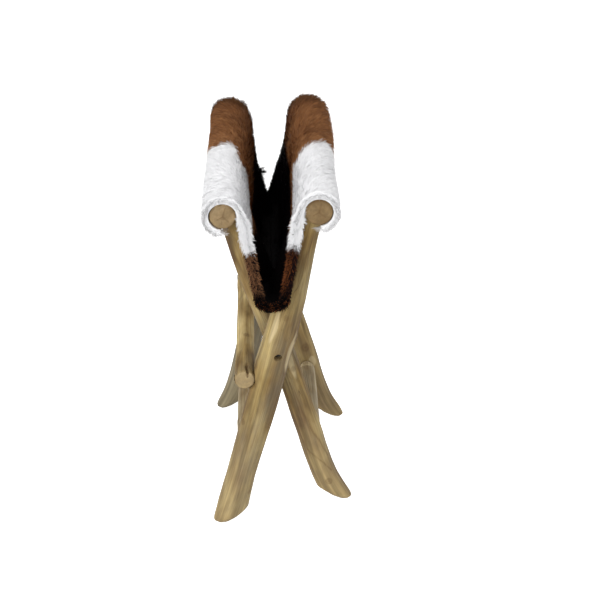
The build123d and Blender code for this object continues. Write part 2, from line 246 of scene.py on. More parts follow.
def ring_lines(material, ring):
    """A mask of the growth rings' edges, that many millimetres apart, drawn coarse to show."""
    wander = drawn_out(material, 29.4, 200.0, 2.0, 0.45, distortion=0.4)
    place = add_node(material, "ShaderNodeAttribute", attribute_name="grain")
    flat = add_node(material, "ShaderNodeVectorMath", {0: place.outputs["Vector"],
                    1: (1, 1, 0)}, operation="MULTIPLY")
    from_pith = add_node(material, "ShaderNodeVectorMath", {0: flat.outputs[0]},
                         operation="LENGTH")
    rings = add_node(material, "ShaderNodeMath", {0: from_pith.outputs["Value"],
                     1: 1000.0 / ring}, operation="MULTIPLY")
    # the pith wanders by up to nine rings
    drift = add_node(material, "ShaderNodeMath", {0: wander, 1: 9.0, 2: rings.outputs[0]},
                     operation="MULTIPLY_ADD")
    phase = add_node(material, "ShaderNodeMath", {0: drift.outputs[0], 1: 1.0},
                     operation="PINGPONG")
    line = add_node(material, "ShaderNodeValToRGB", {"Fac": phase.outputs[0]},
                    stops=[(0.0, grey(1.0)), (0.07, grey(0.4)), (0.22, grey(0.0))])
    return line.outputs["Color"]


def dry_splits(material, greying):
    """A mask of thin splits along the grain, only where the wood has begun to grey."""
    field = drawn_out(material, 14.3, 312.5, 1.0, 0.4, shift=(1.9, 4.4, 7.7))
    off_middle = add_node(material, "ShaderNodeMath", {0: field, 1: 0.5}, operation="SUBTRACT")
    apart = add_node(material, "ShaderNodeMath", {0: off_middle.outputs[0]},
                     operation="ABSOLUTE")
    split = add_node(material, "ShaderNodeMapRange", {"Value": apart.outputs[0],
                     "From Min": 0.0015, "From Max": 0.006, "To Min": 1.0, "To Max": 0.0})
    where = add_node(material, "ShaderNodeMapRange", {"Value": greying,
                     "From Min": 0.46, "From Max": 0.56})
    mask = add_node(material, "ShaderNodeMath", {0: split.outputs[0], 1: where.outputs[0]},
                    operation="MULTIPLY")
    return mask.outputs[0]

# %% [markdown]
# The wood's colour is built up in layers, as a stain is: each layer lays one colour over the
# last where its mask says. The sawn ends show little but the rings, and the knots and the
# painted shadow under the hide come last, because they darken the ends as well.

# %% Peeled branch wood
def stained(material, under, mask, share, colour):
    """Lay a colour over another where a mask is 1, at a share of full strength."""
    strength = add_node(material, "ShaderNodeMath", {0: mask, 1: share}, operation="MULTIPLY")
    over = add_node(material, "ShaderNodeMix", {0: strength.outputs[0], 6: under,
                    7: linear(colour)}, data_type="RGBA")
    return over.outputs[2]


def peeled_branch(name, pale, mid, dark, grey_tone, ring=3.0, grey_share=0.7,
                  sawn_tone="#a08a66"):
    """Debarked branch. Ring is the growth ring width in millimetres."""
    material, shader = blank_material(name)
    links = material.node_tree.links
    patches = drawn_out(material, 33.3, 90.9, 3.0, 0.55, shift=(3.1, 1.7, 0.4))
    tone = add_node(material, "ShaderNodeValToRGB", {"Fac": patches},
                    stops=[(0.30, linear(dark)), (0.47, linear(mid)), (0.66, linear(pale))])
    greying = drawn_out(material, 45.5, 142.9, 4.0, 0.6, shift=(8.3, 5.2, 2.9))
    grey_mask = add_node(material, "ShaderNodeMapRange", {"Value": greying,
                         "From Min": 0.5, "From Max": 0.72})
    fibres = drawn_out(material, 1.25, 62.5, 3.0, 0.6)
    fibre_mask = add_node(material, "ShaderNodeMapRange", {"Value": fibres,
                          "From Min": 0.38, "From Max": 0.70})
    splits = dry_splits(material, greying)
    shaved = add_node(material, "ShaderNodeAttribute", attribute_name="shaved")
    colour = tone.outputs["Color"]
    for mask, share, stain in (
        (grey_mask.outputs[0], grey_share, grey_tone),
        (fibre_mask.outputs[0], 0.42, dark),
        (ring_lines(material, ring), 0.42, "#6f5a3c"),
        (splits, 0.6, "#3f2f1d"),
        (shaved.outputs["Fac"], 0.6, "#cdbb93"),
    ):
        colour = stained(material, colour, mask, share, stain)
    # light and dark streaks about 5 mm wide and 150 mm long
    streaks = drawn_out(material, 5.26, 153.8, 2.0, 0.5, shift=(6.2, 0.8, 5.1), distortion=0.3)
    streak_level = add_node(material, "ShaderNodeMapRange", {"Value": streaks,
                            "From Min": 0.32, "From Max": 0.68, "To Min": 0.7, "To Max": 1.2})
    streaked = add_node(material, "ShaderNodeVectorMath", {0: colour,
                        "Scale": streak_level.outputs[0]}, operation="SCALE")
    colour = streaked.outputs[0]
    # the knot mask also holds the painted shadow under the hide on the rail ends
    for title, share, stain in (("sawn", 0.5, sawn_tone), ("knot", 0.75, "#5b4228")):
        mask = add_node(material, "ShaderNodeAttribute", attribute_name=title)
        colour = stained(material, colour, mask.outputs["Fac"], share, stain)
    links.new(colour, shader.inputs["Base Color"])
    # oiled, hand-shaved wood: satin, a little glossier where it is pale
    satin = add_node(material, "ShaderNodeMapRange", {"Value": patches,
                     "From Min": 0.3, "From Max": 0.7, "To Min": 0.78, "To Max": 0.62})
    links.new(satin.outputs[0], shader.inputs["Roughness"])
    shader.inputs["IOR"].default_value = 1.5
    shader.inputs["Specular IOR Level"].default_value = 0.2
    relief = add_node(material, "ShaderNodeMath", {0: splits, 1: -1.5, 2: fibres},
                      operation="MULTIPLY_ADD")
    bump = add_node(material, "ShaderNodeBump", {"Height": relief.outputs[0],
                    "Strength": 0.35, "Distance": 0.0006})
    links.new(bump.outputs[0], shader.inputs["Normal"])
    return material


leg_wood = peeled_branch("peeled_branch_oiled", "#b59f6a", "#8d7547", "#61472a", "#7c7460")
# a darker, greyer copy of the leg wood: painted shade for the back leg, which stands in shade
shaded_back_leg_wood = peeled_branch("peeled_branch_painted_shade", "#837b68", "#69624f", "#504837", "#6b6a61",
                          grey_share=1.0)
rail_wood = peeled_branch("peeled_rail_darker", "#977f57", "#7f6743", "#5c4628", "#857a66",
                          ring=2.2, grey_share=0.3, sawn_tone="#7e6849")
pale_rail_wood = peeled_branch("peeled_rail_paler", "#b9a37c", "#9f8661", "#6c5634", "#857a66",
                               ring=2.2, grey_share=0.3, sawn_tone="#907b5b")
rung_wood = peeled_branch("peeled_rung_dry", "#cfba84", "#a88f5c", "#664d2a", "#857c69",
                          sawn_tone="#b29d78")
rod_wood = peeled_branch("peeled_rod_dry", "#c6b694", "#a59472", "#7f6b4b", "#958d7c")
woods = (leg_wood, shaded_back_leg_wood, rail_wood, pale_rail_wood, rung_wood, rod_wood)
print("wood finishes", [wood.name for wood in woods])

# %% [markdown]
# ## Branches
# A real branch is never round: it swells at knots, it is flattened by the drawknife and its
# surface waves a little. The CAD solid gives the branch's path, notches and bores. The mesh
# is rebuilt in small even faces, and then each point moves in or out from the branch's own
# middle line. Flats beside the pivots stay as they are, because the washers bear on them.

# %% Even meshes and soft noise
def even_mesh(node, voxel):
    """The CAD node's shape in small even faces, about that many millimetres wide."""
    source = frame["nodes"][node]
    copy = add_object(node + "_even", source.data.copy())
    weld = copy.modifiers.new("weld", "WELD")
    weld.merge_threshold = 0.02 * MM
    remesh = copy.modifiers.new("remesh", "REMESH")
    remesh.mode = "VOXEL"
    remesh.voxel_size = voxel * MM
    remesh.use_smooth_shade = True
    graph = bpy.context.evaluated_depsgraph_get()
    mesh = bpy.data.meshes.new_from_object(copy.evaluated_get(graph))
    bpy.data.objects.remove(copy)
    mesh.name = node + "_carved"
    return mesh


def points_of(mesh):
    """A mesh's vertices as an array in metres."""
    found = np.zeros(len(mesh.vertices) * 3)
    mesh.vertices.foreach_get("co", found)
    return found.reshape(-1, 3)


def store(mesh, title, kind, values):
    """Keep a value for each point of a mesh, under a title that a material can read."""
    field = {"FLOAT": "value", "FLOAT_VECTOR": "vector", "FLOAT_COLOR": "color"}[kind]
    attribute = mesh.attributes.new(title, kind, "POINT")
    attribute.data.foreach_set(field, values.astype(np.float32).ravel())


def waves(points, size, seed):
    """Smooth noise from about -1 to 1 at each point, with features of that size."""
    shift = Vector((seed * 7.31, seed * 3.17, seed * 5.43))
    return np.array([noise.noise(Vector(p) / size + shift) for p in points])


def smooth_step(values, low, high):
    """0 below low, 1 above high and an even change between."""
    share = np.clip((values - low) / (high - low), 0, 1)
    return share * share * (3 - 2 * share)

# %% [markdown]
# Each branch has its own marks: knots that swell with a sunk heart, places shaved flat down
# to paler wood, and dark veins. A mark has a height up the branch in millimetres and a turn
# round it in degrees, as one would tell a carver. Each function gives how far the surface
# moves or how strong the mark is at every point.

# %% Marks on a branch
def middle_line(along, across):
    """The middle of the branch as a smooth function of the distance along it."""
    edges = np.linspace(along.min() + 0.004, along.max() - 0.004, 26)
    places, middles = [], []
    for low, high in zip(edges, edges[1:]):
        inside = (along >= low) & (along < high)
        if inside.sum() > 8:
            places.append((low + high) / 2)
            middles.append((across[inside].max() + across[inside].min()) / 2)
    return np.polynomial.Polynomial.fit(places, middles, 5)


def arc(angle, turn, distance):
    """How far round the surface each point is from a turn, in millimetres."""
    return np.radians((angle - turn + 180) % 360 - 180) * distance / MM


def hand_made_waves(grain, angle, seed, swell, facet):
    """Lumps and the drawknife's long facets, in millimetres."""
    lumps = waves(grain * [1, 1, 0.45], 0.030, seed) * 0.65
    lumps += waves(grain * [1, 1, 0.6], 0.012, seed + 9) * 0.35
    turns = np.radians(angle) * 4.5 + waves(grain * [0, 0, 1], 0.09, seed + 4) * 2.0
    cuts = np.abs(np.sin(turns)) ** 2 * (0.6 + 0.4 * waves(grain, 0.05, seed + 2))
    return lumps * swell - cuts * facet


def knot_marks(height, angle, distance, knots):
    """How far the knots rise in millimetres, and how dark their rims and hearts are."""
    risen, dark = np.zeros(len(height)), np.zeros(len(height))
    for knot_height, turn, radius, rise in knots:
        spread = np.hypot(height - knot_height, arc(angle, turn, distance) * 1.15) / radius
        risen += rise * (np.exp(-spread ** 2) - 0.5 * np.exp(-(spread / 0.33) ** 2))
        rim = np.exp(-((spread - 0.42) / 0.16) ** 2)
        dark += 0.55 * rim + 0.8 * np.exp(-(spread / 0.2) ** 2)
    return risen, dark


def shaved_marks(grain, height, angle, distance, shaves, seed):
    """1 where a knife has shaved the branch flat, with ragged edges."""
    shaved = np.zeros(len(height))
    for middle, turn, half_long, half_wide in shaves:
        off = np.hypot((height - middle) / half_long, arc(angle, turn, distance) / half_wide)
        off += 0.2 * waves(grain * [1, 1, 0.3], 0.006, seed + 6)
        shaved = np.maximum(shaved, 1 - smooth_step(off, 0.7, 1.05))
    return shaved


def vein_mark(height, angle, path, per_degree=0.35, half_wide=1.3):
    """1 on a line over the surface and 0 away from it; path holds heights and turns."""
    nearest = np.full(len(height), 1e3)
    for (h_a, t_a), (h_b, t_b) in zip(path, path[1:]):
        step_h, step_t = h_b - h_a, (t_b - t_a) * per_degree
        off_h, off_t = height - h_a, (angle - t_a) * per_degree
        share = np.clip((off_h * step_h + off_t * step_t) / (step_h ** 2 + step_t ** 2), 0, 1)
        nearest = np.minimum(nearest, np.hypot(off_h - share * step_h, off_t - share * step_t))
    return np.exp(-(nearest / half_wide) ** 2)


def end_marks_and_shade(grain, angle, deep, distance, seed):
    """Radial checks, a stained pith, and painted shadow where the hide bends over a rail's end."""
    dark = 0.25 * np.exp(-(distance / 0.004) ** 2)
    dark += 0.2 * np.clip(waves(grain, 0.009, seed + 8), 0, 1)
    for turn, longest in ((96, 0.013), (-128, 0.009), (-20, 0.011)):
        off_line = arc(angle, turn - seed, distance)
        dark += 0.6 * np.exp(-(off_line / 0.8) ** 2) * (distance < longest)
    # painted shadow on the top rim of a rail's end, under the hide's edge
    hide_edge_shadow = smooth_step(deep / distance, -0.1, 0.7)
    return dark + 0.9 * hide_edge_shadow * smooth_step(distance, 0.0125, 0.0168)

# %% [markdown]
# The carving puts these together. It works in the branch's own directions: across, deep and
# along. Beside the pivot a leg keeps its flat and its bore, and towards the top it moves
# less, because the rail is seated there. Towards the foot its wood is paler and drier.

# %% Branch carving
# metres from the pivot between which the flat ends, the rail's seat begins, the foot pales
flat_fade, seat_fade, foot_fade = (0.034, 0.052), (0.08, 0.13), (0.05, 0.25)
bore_clear, bore_reach = 0.011, 0.03
shave_depth = 0.9


def branch_directions(lean, along_y):
    """The ways across, deep and along a branch that leans in X, or runs along Y."""
    if along_y:
        return np.array([1.0, 0, 0]), np.array([0, 0, 1.0]), np.array([0, 1.0, 0])
    tilt = math.radians(lean)
    return (np.array([math.cos(tilt), 0, -math.sin(tilt)]), np.array([0, 1.0, 0]),
            np.array([math.sin(tilt), 0, math.cos(tilt)]))


def free_to_move(across, deep, along, distance, flat_way):
    """1 where a leg's surface may move and 0 at the pivot's flat and bore."""
    facing = deep * flat_way / distance
    beside_pivot = 1 - smooth_step(np.abs(along), *flat_fade)
    keep = 1 - beside_pivot * smooth_step(facing, 0.45, 0.7)
    keep *= 1 - 0.6 * smooth_step(along, *seat_fade)
    in_bore = (np.hypot(across, along) < bore_clear) & (np.abs(deep) < bore_reach)
    return np.clip(keep * (1 - in_bore), 0, 1)


def carve(name, node, origin, lean, seed, knots=(), shaves=(), veins=(), voxel=1.6, swell=0.9,
          facet=0.5, along_y=False, flat_way=0, material=leg_wood, slot="peeled_wood"):
    """Rebuild a branch with lumps, drawknife facets and knots round its own middle line."""
    mesh = even_mesh(node, voxel)
    points = points_of(mesh)
    side, depth, way = branch_directions(lean, along_y)
    local = points - np.array(origin)
    across, deep, along = local @ side, local @ depth, local @ way
    if not along_y:
        across = across - middle_line(along, across)(along)
    distance = np.hypot(across, deep) + 1e-9
    angle = np.degrees(np.arctan2(deep, across))
    height = along / MM
    grain = np.stack([across, deep, along + seed * 0.37], 1)

    risen, dark = knot_marks(height, angle, distance, knots)
    shaved = shaved_marks(grain, height, angle, distance, shaves, seed)
    move = hand_made_waves(grain, angle, seed, swell, facet) + risen - shave_depth * shaved
    for path in veins:
        wobble = 2.0 * waves(grain, 0.02, seed + 7)
        dark += 0.6 * vein_mark(height + wobble, angle + 3 * wobble, path)
    if not along_y:
        move *= free_to_move(across, deep, along, distance, flat_way)
    outward = np.outer(across / distance, side) + np.outer(deep / distance, depth)
    points = points + outward * (move * MM)[:, None]
    mesh.vertices.foreach_set("co", points.astype(np.float32).ravel())

    facing = np.zeros(len(points) * 3)
    mesh.vertex_normals.foreach_get("vector", facing)
    sawn = smooth_step(np.abs(facing.reshape(-1, 3) @ way), 0.75, 0.92)
    # the rail ends get painted shadow under the hide's edge, kept with the knots
    if slot == "rail_wood":
        dark += end_marks_and_shade(grain, angle, deep, distance, seed) * sawn
    if not along_y:
        shaved = np.maximum(shaved, 0.4 * smooth_step(-along, *foot_fade))
    store(mesh, "grain", "FLOAT_VECTOR", grain)
    # knots and veins, and on the rail ends checks and painted shadow
    store(mesh, "knot", "FLOAT", np.clip(dark, 0, 1))
    store(mesh, "shaved", "FLOAT", shaved)
    store(mesh, "sawn", "FLOAT", sawn)
    mesh.update()
    mesh.materials.clear()
    mesh.materials.append(material)
    piece = add_object(name, mesh)
    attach(piece, body_of(frame["nodes"][node])[0])
    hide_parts(node)
    print(name, len(mesh.vertices), "points")
    return piece

# %% [markdown]
# ## Legs
# Each leg turns on its pivot bolt, so its marks are measured up and down from there. Each
# knot has a height, a turn, a radius and a rise in millimetres, and each shaved place a
# height, a turn and its half length and width. A turn of -90 faces the front and 0 the right.

# %% Legs
pivot_low, pivot_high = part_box("front_pivot_bolt")
pivot_x = (pivot_low.x + pivot_high.x) / 2
pivot_z = (pivot_low.z + pivot_high.z) / 2
outer_lean, inner_lean = 14.6, -16.5
outer_row, inner_row = 158.5, 114.7


def pivot_at(row):
    """The point on the pivot's line in a row of legs, by its millimetres from the middle."""
    return (pivot_x, row * MM, pivot_z)


carve("outer_front_branch", "outer_front_leg", pivot_at(-outer_row), outer_lean, 3,
      knots=[(28, -18, 12, 2.0), (-26, -165, 13, 1.6), (-118, -150, 9, 1.2),
             (-232, -40, 8, 1.2), (62, -96, 8, 0.8)],
      shaves=[(6, -32, 34, 7), (44, -128, 30, 5)], flat_way=1)
# the back leg gets the darker, greyer wood that paints its shade
carve("outer_back_branch", "outer_back_leg", pivot_at(outer_row), outer_lean, 5,
      knots=[(-60, 90, 11, 1.8), (-180, 20, 9, 1.4), (60, 150, 10, 0.9)], flat_way=-1,
      material=shaded_back_leg_wood)
carve("inner_front_branch", "inner_front_leg", pivot_at(-inner_row), inner_lean, 8,
      knots=[(-254, -82, 10, 1.2), (-52, -60, 8, 1.0), (-150, 25, 9, 1.2)],
      shaves=[(-34, -62, 36, 6)],
      veins=[((-60, -128), (-96, -140), (-150, -138), (-187, -122), (-208, -88), (-240, -44)),
             ((-70, -96), (-120, -84), (-165, -66), (-215, -30))], flat_way=-1)
carve("inner_back_branch", "inner_back_leg", pivot_at(inner_row), inner_lean, 11,
      knots=[(-150, -72, 14, 3.0), (-150, 120, 9, 1.2), (-108, -80, 9, 1.2)],
      shaves=[(-182, -60, 12, 9)], flat_way=1)

# %% [markdown]
# ## Rails, stretchers and the rung
# These run from front to back, so their middle line is a line along Y. The rails are smooth
# under the hide, and the rods are rougher.

# %% Rails and rods
def centre_of(node):
    """The middle of a node's box in X and Z, as a point on the line that it follows."""
    low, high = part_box(node)
    return ((low.x + high.x) / 2, 0.0, (low.z + high.z) / 2)


for name, node, seed, knots, wood in (
    ("right_rail_branch", "right_rail", 21, [(-80, 10, 10, 0.5)], rail_wood),
    ("left_rail_branch", "left_rail", 23, [(40, 170, 10, 0.5)], pale_rail_wood),
):
    carve(name, node, centre_of(node), 0, seed, knots=knots, along_y=True, voxel=1.1,
          swell=0.25, facet=0.15, material=wood, slot="rail_wood")
for name, node, seed, knots, shaves in (
    ("outer_stretcher_rod", "outer_stretcher", 31, [(60, 90, 8, 0.8), (-70, 150, 8, 0.8)], []),
    ("inner_stretcher_rod", "inner_stretcher", 33, [(86, 100, 10, 1.6)], [(86, 95, 9, 16)]),
):
    carve(name, node, centre_of(node), 0, seed, knots=knots, shaves=shaves, along_y=True,
          voxel=1.3, swell=0.8, facet=0.5, material=rod_wood)

# %% [markdown]
# The rung's front end has dried and split: a slit runs back from the end on its upper side.
# It is pressed into the finished mesh and darkened like a knot.

# %% Rung with its slit
slit_half_wide, slit_depth = 1.7 * MM, 5.5 * MM
rung = carve("pivot_rung_rod", "pivot_rung", centre_of("pivot_rung"), 0, 37,
             knots=[(-60, 80, 9, 1.2)], along_y=True, voxel=1.1, swell=0.6, facet=0.4,
             material=rung_wood)
rung_points = points_of(rung.data)
rung_x, _, rung_z = centre_of("pivot_rung")
slit_x = rung_x + 3.5 * MM + 0.8 * MM * np.sin(rung_points[:, 1] * 300)
slit = np.exp(-((rung_points[:, 0] - slit_x) / slit_half_wide) ** 2)
slit *= 1 - smooth_step(rung_points[:, 1], -0.150, -0.138)
slit *= smooth_step(rung_points[:, 2] - rung_z, 0.004, 0.009)
rung_points[:, 2] -= slit_depth * slit
rung.data.vertices.foreach_set("co", rung_points.astype(np.float32).ravel())
knot_field = rung.data.attributes["knot"].data
knot_tone = np.zeros(len(rung_points), np.float32)
knot_field.foreach_get("value", knot_tone)
knot_field.foreach_set("value", np.maximum(knot_tone, slit).astype(np.float32))
rung.data.update()
print("slit", round(slit_depth / MM, 1), "mm deep")

# %% [markdown]
# ## Steel and brass
# The bolts, nuts and washers are zinc-plated steel that has dulled, sunk deep in the wood.
# The tacks under the rails are brass that has darkened. Their CAD shapes are right, so they
# keep them and only get these finishes.

# %% Metal finishes
def worn_metal(name, colour, shadow, roughness):
    """Old metal with dull spots about 2 mm across."""
    material, shader = blank_material(name)
    spot = add_node(material, "ShaderNodeTexCoord")
    mottle = add_node(material, "ShaderNodeTexNoise", {"Vector": spot.outputs["Object"],
                      "Scale": 500.0, "Detail": 3.0})
    tint = add_node(material, "ShaderNodeValToRGB", {"Fac": mottle.outputs[0]},
                    stops=[(0.35, linear(shadow)), (0.65, linear(colour))])
    dull = add_node(material, "ShaderNodeMapRange", {"Value": mottle.outputs[0],
                    "To Min": roughness + 0.12, "To Max": roughness - 0.08})
    links = material.node_tree.links
    links.new(tint.outputs["Color"], shader.inputs["Base Color"])
    links.new(dull.outputs[0], shader.inputs["Roughness"])
    shader.inputs["Metallic"].default_value = 1.0
    return material


zinc = worn_metal("zinc_plated_steel_dulled", "#8d8b86", "#5d5a55", 0.42)
brass = worn_metal("brass_tack_darkened", "#8f7440", "#4e3b20", 0.45)
finishes = {zinc: ("front_pivot_bolt", "back_pivot_bolt", "front_pivot_nut", "back_pivot_nut",
                   "front_pivot_washers", "back_pivot_washers", "rung_screws"),
            brass: ("right_rail_tacks", "left_rail_tacks")}
for metal, nodes in finishes.items():
    for node in nodes:
        mesh = frame["nodes"][node].data
        mesh.materials.clear()
        mesh.materials.append(metal)
    print(metal.name, "on", len(nodes), "pieces")

# %% [markdown]
# ## The hide's shape
# The seat is one cowhide, tanned with its hair on. It is tacked under one rail, goes up over
# it, hangs down between the frames in a narrow U, and goes up over the other rail. A place on
# it is given by three numbers: q, how far round from the foot of the roll, y, how far along
# the rail, and how high in the hair. All are in millimetres, but the height is a share.

# %% Sizes of the hide
RIGHT, LEFT = 1, -1
joint_places = {joint["name"]: joint["pos_m"] for joint in frame["joints"]}
rail_places = {RIGHT: joint_places["right_hide_swing"], LEFT: joint_places["left_hide_swing"]}
rail_places = {side: (place[0] / MM, place[2] / MM) for side, place in rail_places.items()}
inside_radius = {RIGHT: 18.6, LEFT: 18.2}
leg_rows = {RIGHT: outer_row, LEFT: inner_row}
pile_height, wall_height = 10.0, 8.0
wall_lean = math.radians(8.7)
wall_length, bottom_width = 125.0, 27.0
half_length = 202.0
roll_measure = 30.0
hang_angle, flap_angle = 171.3, -48.0
flap_place = roll_measure * math.radians(flap_angle - hang_angle)
middle_shift, bottom_sag = 6.0, 12.5
seat_middle = pivot_x / MM - middle_shift
seat_low = (rail_places[RIGHT][1] + rail_places[LEFT][1]) / 2 \
    + (inside_radius[RIGHT] + inside_radius[LEFT] + pile_height) / 2 * math.sin(wall_lean) \
    - wall_length * math.cos(wall_lean) - bottom_sag
print("hide bottom at", round(seat_low, 1), "mm")

# %% [markdown]
# The legs press on the hanging walls from outside, which gives the smooth hollows at their
# rows. The hair is not equally deep: it is fuller towards the far end and bunches up at the
# front edge. The tables hold a few points of each outline, read off the picture: the
# places first, and the millimetres or shares after them.

# %% Hollows and depth of the hair
dent_depth, dent_half = 18.5, 25.0
dent_shape = ([0.0, 0.2, 0.40, 0.70, 0.9, 1.0], [1.0, 0.97, 0.88, 0.50, 0.13, 0.0])
# how much of the hollow shows down the wall, by the share of the wall's length
press_shape = ([0, 0.2, 0.35, 0.48, 0.65, 0.8, 1.0], [0, 0.02, 0.16, 0.36, 0.60, 0.78, 1.0])
fuller_coat = {
    LEFT: ([-115, -80, -50, -10, 50, 120, 150], [-2, -1, 5, 9, 6, 2, 0]),
    RIGHT: ([-115, -70, -40, -10, 60, 150], [7, 8, 5, 3, 2, 0]),
}
bunch_height = 4.5
leg_clear, wrap_share = 16.0, 0.16


def dent(y, side):
    """How far the legs push the wall inwards."""
    apart = np.abs(np.abs(y) - leg_rows[side]) / dent_half
    return dent_depth * np.interp(apart, *dent_shape)


def extra_pile(side, q, y):
    """How much deeper than usual the hair is at a place."""
    far = smooth_step(y, -110.0, 130.0)
    at_front = smooth_step(-y, half_length - 20, half_length - 2)
    bunched = bunch_height * at_front * smooth_step(q, -6, 18)
    return np.interp(q, *fuller_coat[side]) * far + bunched


def wrap_stretch(side, y):
    """Beyond the legs the hide goes further round the rail, nearly back to the leg."""
    free = leg_rows[side] + leg_clear
    return 1 + wrap_share * smooth_step(np.abs(y), free, free + 14.0)

# %% [markdown]
# Round the rail the hide is an arc, and down the wall it is a straight line that the legs
# press in. At the foot of the wall it turns in a curve that is fixed by three points: the
# wall's end, the fullest place of the bend, and the middle of the seat.

# %% Faces of the hide
# the bend's fullest place as a share of the way, and how far the hollows push the seat
bend_share, sway_share = 0.72, 0.46
droop = 0.035


def roll_face(side, q, y, radius):
    """X and Z of a place on the roll, at a radius round the rail."""
    rail_x, rail_z = rail_places[side]
    angle = np.radians(hang_angle) + np.minimum(q, 0) * wrap_stretch(side, y) / roll_measure
    return rail_x + side * radius * np.cos(angle), rail_z + radius * np.sin(angle)


def curve_through(start, middle, end, t):
    """A curve from start to end that goes through the middle point half way."""
    pull = 2 * middle - (start + end) / 2
    return (1 - t) ** 2 * start + 2 * t * (1 - t) * pull + t * t * end


def wall_face(side, q, y, outer, fluff):
    """X and Z on the wall and bottom; outer is -1 for the flesh side and 1 for the hair."""
    rail_x, rail_z = rail_places[side]
    share = np.clip(q / wall_length, 0, 1)
    thinner = np.clip(share / 0.2, 0, 1) * (wall_height - pile_height)
    press = dent(y, side) * np.interp(share, *press_shape)
    offset = inside_radius[side] + pile_height / 2 + outer * (pile_height + thinner) / 2
    offset = offset + press + fluff
    down = wall_length * share
    wall_x = rail_x - side * math.sin(wall_lean) * down - side * math.cos(wall_lean) * offset
    wall_z = rail_z - math.cos(wall_lean) * down + math.sin(wall_lean) * offset
    t = np.clip((q - wall_length) / bottom_width, 0, 1)
    sway = sway_share * (dent(y, LEFT) - dent(y, RIGHT))
    end_x = seat_middle + sway
    end_z = seat_low + outer * wall_height / 2 + fluff
    bend_x = end_x + (wall_x - end_x) * bend_share
    bend_z = wall_z + (end_z - wall_z) * bend_share
    past = np.maximum(q - wall_length - bottom_width, 0)
    return (curve_through(wall_x, bend_x, end_x, t) - side * past,
            curve_through(wall_z, bend_z, end_z, t))


def hide_faces(side, q, y):
    """Flesh side and top of the hair at a place, as two arrays of points."""
    y = np.clip(y, -half_length, half_length)
    near = inside_radius[side]
    fluff = extra_pile(side, q, y)
    faces = []
    for radius, outer, extra in ((near, -1, 0.0), (near + pile_height + fluff, 1, fluff)):
        roll_x, roll_z = roll_face(side, q, y, radius)
        wall_x, wall_z = wall_face(side, q, y, outer, extra)
        x, z = np.where(q > 0, wall_x, roll_x), np.where(q > 0, wall_z, roll_z)
        faces.append(np.stack([x, y, z], -1))
    return faces


def hide_point(side, q, y, height):
    """A point in the hair: height 0 is the skin and 1 the usual top of the hair."""
    skin, top = hide_faces(side, q, y)
    over = np.maximum(np.abs(y) - half_length, 0) * np.sign(y)
    point = skin + (top - skin) * height[..., None]
    point[..., 1] += over
    # hair that reaches past the end of the hide droops
    point[..., 2] -= droop * over ** 2
    return point

# %% [markdown]
# ## The hide's colours
# The coat is brown with a white patch at the front end of both rolls, and nearly black in the
# fold, where the black hair is painted darker still for the shade there. Each hair has one
# colour, so the edges of the patches are ragged: the edge is a line on the hide, and every
# hair near it falls on one side or the other by chance.

# %% Coat colours
# the black is black hair made darker still to stand for the shade in the fold
white_hair, brown_hair, russet_hair, tan_hair, black_hair_and_shade, grizzled_hair = (
    np.array(linear(code)[:3])
    for code in ("#f6f6f7", "#7d5231", "#5a3219", "#a5764d", "#080304", "#6a4a33"))
# where the white ends: place round the roll, place along the rail
white_edge = {
    LEFT: ([-115, -69, -51, -26, -20, -16, -10, -5, 5, 15, 25, 35, 44, 48, 51, 54],
           [6, 3, -8, -4, -17, -33, -46, -55, -46, -40, -42, -48, -56, -85, -140, -260]),
    RIGHT: ([-115, -62, -54, -47, -30, -20, -10, -2, 8, 17, 25, 34, 38, 41, 44, 50],
            [2, -3, -6, -20, -26, -40, -52, -58, -52, -68, -92, -106, -122, -150, -180, -260]),
}
# where the fold's black, black hair and painted shade, begins: place along the rail, place round the roll
black_start = {
    LEFT: ([-202, -60, 20, 50, 90, 202], [62, 61, 62, 50, 45, 45]),
    RIGHT: ([-202, -130, -95, -60, 10, 50, 105, 202], [58, 56, 52, 37, 29, 33, 42, 42]),
}
# how far down the hanging wall the white fringe at the front edge reaches
white_drop = {LEFT: 40.0, RIGHT: 50.0}
# painted shade: how much the brown darkens where the coat curls down at the far end, more on the left for
# its darker tufts
far_end_shade_and_tufts = {LEFT: 0.6, RIGHT: 0.45}
# below the white fringe the front edge is grizzled on the left and russet on the right
low_tones = {LEFT: grizzled_hair, RIGHT: russet_hair}


def on_hide(side, q, y, layer):
    """Places for noise on the hide, apart from each other by side and by use."""
    return np.stack([q, y, np.full_like(q, layer * side)], -1)


def mixed(under, over, share):
    """Two colours mixed, by a share for each hair."""
    return under * (1 - share)[..., None] + over * share[..., None]


